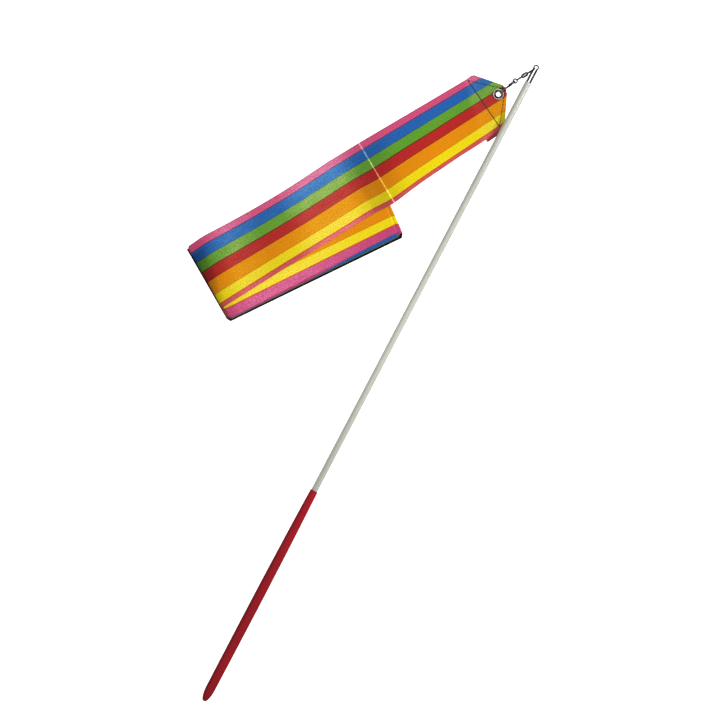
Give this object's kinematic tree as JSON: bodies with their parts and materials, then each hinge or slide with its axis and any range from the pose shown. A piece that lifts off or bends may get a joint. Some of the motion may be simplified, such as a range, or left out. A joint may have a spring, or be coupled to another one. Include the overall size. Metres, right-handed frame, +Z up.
{
  "type": "rhythmic ribbon wand",
  "caption": "Slim tapered-grip wand whose tip carries a swivel and snap holding a striped satin ribbon, folded zigzag beside it.",
  "frame": {"origin": "centre of the small flat at the grip's butt end, on the rod's axis", "axes": "+X along the wand from butt to tip, +Y towards the folded ribbon, +Z up from the surface the wand lies on"},
  "size_m": [0.514, 0.1638, 0.007],
  "materials": {
    "fibreglass": "semi-gloss pale grey",
    "grip": "smooth deep red, satin sheen",
    "filler": "matt white",
    "nickel": "polished nickel plate",
    "thread": "matt dark sewing thread",
    "satin": "striped satin: pink, blue, green, red, orange, yellow, pink"
  },
  "bodies": {
    "wand": {"fibreglass_rod": "fibreglass", "grip_sleeve": "grip", "tip_pin": "nickel", "tip_plug": "filler"},
    "rod_eye": {"swivel_rod_eye": "nickel"},
    "barrel": {"swivel_barrel": "nickel"},
    "ribbon_eye": {"swivel_ribbon_eye": "nickel"},
    "snap": {"snap_wire": "nickel", "snap_clasp": "nickel"},
    "snap_arm": {"snap_arm": "nickel"},
    "ribbon_lead": {"ribbon_head": "satin", "ribbon_head_backing": "satin", "eyelet": "nickel", "eyelet_washer": "nickel", "head_stitching": "thread", "ribbon_lead": "satin"},
    "ribbon_front": {"ribbon_front": "satin"},
    "layer_2": {"ribbon_layer_2": "satin"},
    "layer_3": {"ribbon_layer_3": "satin"},
    "layer_4": {"ribbon_layer_4": "satin"},
    "pack": {"ribbon_pack": "satin"}
  },
  "joints": [
    {"name": "rod_eye_swing", "type": "hinge", "parent": "wand", "child": "rod_eye", "pos_m": [0.5096, 0.0012, 0], "axis": [1, 0, 0], "range_deg": [0, 150]},
    {"name": "barrel_spin", "type": "hinge", "parent": "rod_eye", "child": "barrel", "pos_m": [0.5096, 0.0012, 0], "axis": [0.8567, -0.5047, 0.1063], "continuous": true},
    {"name": "swivel_turn", "type": "hinge", "parent": "rod_eye", "child": "ribbon_eye", "pos_m": [0.5096, 0.0012, 0], "axis": [0.8567, -0.5047, 0.1063], "range_deg": [0, 90]},
    {"name": "snap_yaw", "type": "hinge", "parent": "ribbon_eye", "child": "snap", "pos_m": [0.49624, 0.009, -0.0016], "axis": [0, 0, -1], "range_deg": [0, 45]},
    {"name": "snap_open", "type": "hinge", "parent": "snap", "child": "snap_arm", "pos_m": [0.48435, 0.01431, -0.001], "axis": [-0.4074, -0.9133, 0], "range_deg": [0, 25]},
    {"name": "ribbon_swing", "type": "hinge", "parent": "snap", "child": "ribbon_lead", "pos_m": [0.48435, 0.01431, -0.0021], "axis": [0, 0, -1], "range_deg": [0, 60]},
    {"name": "crease_fold", "type": "hinge", "parent": "ribbon_lead", "child": "ribbon_front", "pos_m": [0.393, 0.0669, 0.00088], "axis": [0.5213, 0.8534, 0], "range_deg": [-60, 120]},
    {"name": "fold_1", "type": "hinge", "parent": "ribbon_front", "child": "layer_2", "pos_m": [0.2661, 0.13605, 0.00068], "axis": [0.537, 0.8436, 0], "range_deg": [0, 150]},
    {"name": "fold_2", "type": "hinge", "parent": "layer_2", "child": "layer_3", "pos_m": [0.37475, 0.0478, 0.00028], "axis": [-0.6382, -0.7699, 0], "range_deg": [0, 150]},
    {"name": "fold_3", "type": "hinge", "parent": "layer_3", "child": "layer_4", "pos_m": [0.2661, 0.13605, -0.00013], "axis": [0.537, 0.8436, 0], "range_deg": [0, 150]},
    {"name": "fold_4", "type": "hinge", "parent": "layer_4", "child": "pack", "pos_m": [0.37475, 0.0478, -0.00052], "axis": [-0.6382, -0.7699, 0], "range_deg": [0, 150]}
  ],
  "couplings": [
    {"joint": "fold_2", "follows": "fold_1", "ratio": 1},
    {"joint": "fold_3", "follows": "fold_1", "ratio": 1},
    {"joint": "fold_4", "follows": "fold_1", "ratio": 1}
  ]
}
